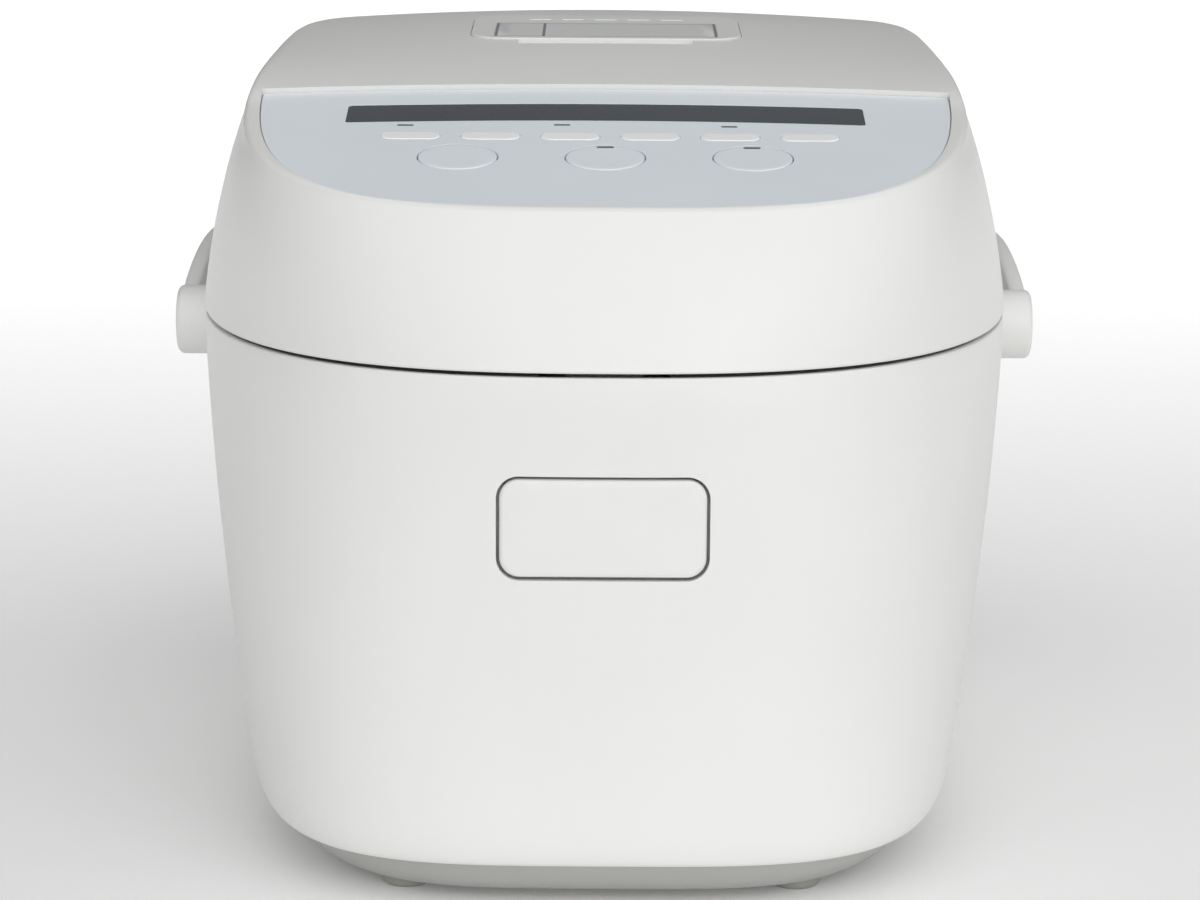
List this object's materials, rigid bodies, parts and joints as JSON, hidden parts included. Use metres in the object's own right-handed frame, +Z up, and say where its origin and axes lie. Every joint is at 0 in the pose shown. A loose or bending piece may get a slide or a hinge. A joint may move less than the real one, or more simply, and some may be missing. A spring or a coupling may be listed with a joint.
{
  "type": "rice cooker",
  "caption": "Rounded white countertop rice cooker with a hinged lid, tilted key panel, front open button and folding carry handle.",
  "frame": {"origin": "centre of the whole object's bounding box, on the plane its feet stand on", "axes": "+Z up, +Y towards the hinge at the back, +X to the right as seen from the front"},
  "size_m": [0.2996, 0.402, 0.2593],
  "materials": {
    "aluminium": "satin",
    "black_plastic": "matte",
    "cast_aluminium": "satin",
    "dark_window": "gloss",
    "green_board": "satin",
    "grey_plastic": "matte",
    "key_film": "satin",
    "label_film": "satin",
    "light_grey_plastic": "matte",
    "mica": "matte",
    "panel_film": "satin",
    "pot_coating": "satin",
    "rubber": "matte",
    "silicone": "matte",
    "spring_steel": "gloss",
    "steel": "satin",
    "white_plastic": "satin"
  },
  "bodies": {
    "body": {"outer_shell": "white_plastic", "base_pan": "grey_plastic", "feet": "rubber", "base_screws": "steel", "rating_plate": "label_film", "top_frame": "light_grey_plastic", "inner_case": "steel", "side_heater": "mica", "hot_plate": "cast_aluminium", "heater_element": "spring_steel", "thermal_fuse": "silicone", "sensor_bracket": "steel", "sensor_spring": "spring_steel", "power_board": "green_board", "board_components": "black_plastic", "board_bracket": "light_grey_plastic", "power_inlet": "black_plastic", "inlet_pins": "steel", "hinge_bracket": "steel", "hinge_pin": "steel", "hinge_springs": "spring_steel", "hinge_cover": "white_plastic", "latch_bracket": "steel", "latch_pin": "steel", "latch_spring": "spring_steel", "button_spring": "spring_steel", "handle_pivots": "steel"},
    "lid": {"lid_cover": "white_plastic", "panel_fascia": "panel_film", "display_window": "dark_window", "display_module": "dark_window", "control_board": "green_board", "tact_switches": "black_plastic", "lid_base": "light_grey_plastic", "lid_screws": "steel", "lid_catch": "steel", "lid_heater": "aluminium", "inner_lid": "aluminium", "inner_lid_gasket": "silicone", "steam_well": "light_grey_plastic", "steam_gasket": "silicone"},
    "steam_cap_body": {"steam_cap": "white_plastic", "steam_cap_base": "light_grey_plastic", "steam_label": "label_film"},
    "handle_body": {"handle": "white_plastic", "handle_caps": "white_plastic"},
    "button_body": {"open_button": "white_plastic"},
    "latch_body": {"latch_lever": "light_grey_plastic"},
    "pot_body": {"inner_pot": "pot_coating"},
    "sensor_body": {"sensor_cap": "aluminium"},
    "key_left_body": {"key_left": "key_film"},
    "key_middle_body": {"key_middle": "key_film"},
    "key_right_body": {"key_right": "key_film"},
    "small_key_1_body": {"small_key_1": "key_film"},
    "small_key_2_body": {"small_key_2": "key_film"},
    "small_key_3_body": {"small_key_3": "key_film"},
    "small_key_4_body": {"small_key_4": "key_film"},
    "small_key_5_body": {"small_key_5": "key_film"},
    "small_key_6_body": {"small_key_6": "key_film"}
  },
  "joints": [
    {"name": "lid_open", "type": "hinge", "parent": "body", "child": "lid", "pos_m": [0, 0.171, 0.181], "axis": [-1, 0, 0], "range_deg": [0, 90]},
    {"name": "steam_cap_lift", "type": "slide", "parent": "lid", "child": "steam_cap_body", "axis": [0, 0, 1], "range_m": [0, 0.04]},
    {"name": "handle_swing", "type": "hinge", "parent": "body", "child": "handle_body", "pos_m": [0, -0.011, 0.158], "axis": [1, 0, 0], "range_deg": [0, 90]},
    {"name": "open_button_press", "type": "slide", "parent": "body", "child": "button_body", "axis": [0, 1, 0], "range_m": [0, 0.004], "stiffness_N_per_m": 600, "springref_m": -0.002},
    {"name": "latch_swing", "type": "hinge", "parent": "body", "child": "latch_body", "pos_m": [0, -0.179, 0.148], "axis": [1, 0, 0], "range_deg": [0, 10]},
    {"name": "pot_turn", "type": "hinge", "parent": "body", "child": "pot_body", "pos_m": [0, -0.041, 0.1], "axis": [0, 0, 1], "continuous": true},
    {"name": "sensor_press", "type": "slide", "parent": "body", "child": "sensor_body", "axis": [0, 0, -1], "range_m": [0, 0.003], "stiffness_N_per_m": 500, "springref_m": -0.003, "deforming": ["sensor_spring"]},
    {"name": "key_left_press", "type": "slide", "parent": "lid", "child": "key_left_body", "axis": [0, 0.2024, -0.9793], "range_m": [0, 0.0008], "stiffness_N_per_m": 800, "springref_m": -0.0005},
    {"name": "key_middle_press", "type": "slide", "parent": "lid", "child": "key_middle_body", "axis": [0, 0.2024, -0.9793], "range_m": [0, 0.0008], "stiffness_N_per_m": 800, "springref_m": -0.0005},
    {"name": "key_right_press", "type": "slide", "parent": "lid", "child": "key_right_body", "axis": [0, 0.2024, -0.9793], "range_m": [0, 0.0008], "stiffness_N_per_m": 800, "springref_m": -0.0005},
    {"name": "small_key_1_press", "type": "slide", "parent": "lid", "child": "small_key_1_body", "axis": [0, 0.2024, -0.9793], "range_m": [0, 0.0006], "stiffness_N_per_m": 800, "springref_m": -0.0005},
    {"name": "small_key_2_press", "type": "slide", "parent": "lid", "child": "small_key_2_body", "axis": [0, 0.2024, -0.9793], "range_m": [0, 0.0006], "stiffness_N_per_m": 800, "springref_m": -0.0005},
    {"name": "small_key_3_press", "type": "slide", "parent": "lid", "child": "small_key_3_body", "axis": [0, 0.2024, -0.9793], "range_m": [0, 0.0006], "stiffness_N_per_m": 800, "springref_m": -0.0005},
    {"name": "small_key_4_press", "type": "slide", "parent": "lid", "child": "small_key_4_body", "axis": [0, 0.2024, -0.9793], "range_m": [0, 0.0006], "stiffness_N_per_m": 800, "springref_m": -0.0005},
    {"name": "small_key_5_press", "type": "slide", "parent": "lid", "child": "small_key_5_body", "axis": [0, 0.2024, -0.9793], "range_m": [0, 0.0006], "stiffness_N_per_m": 800, "springref_m": -0.0005},
    {"name": "small_key_6_press", "type": "slide", "parent": "lid", "child": "small_key_6_body", "axis": [0, 0.2024, -0.9793], "range_m": [0, 0.0006], "stiffness_N_per_m": 800, "springref_m": -0.0005}
  ],
  "couplings": [
    {"joint": "latch_swing", "follows": "open_button_press", "rad_per_m": 42.5}
  ]
}
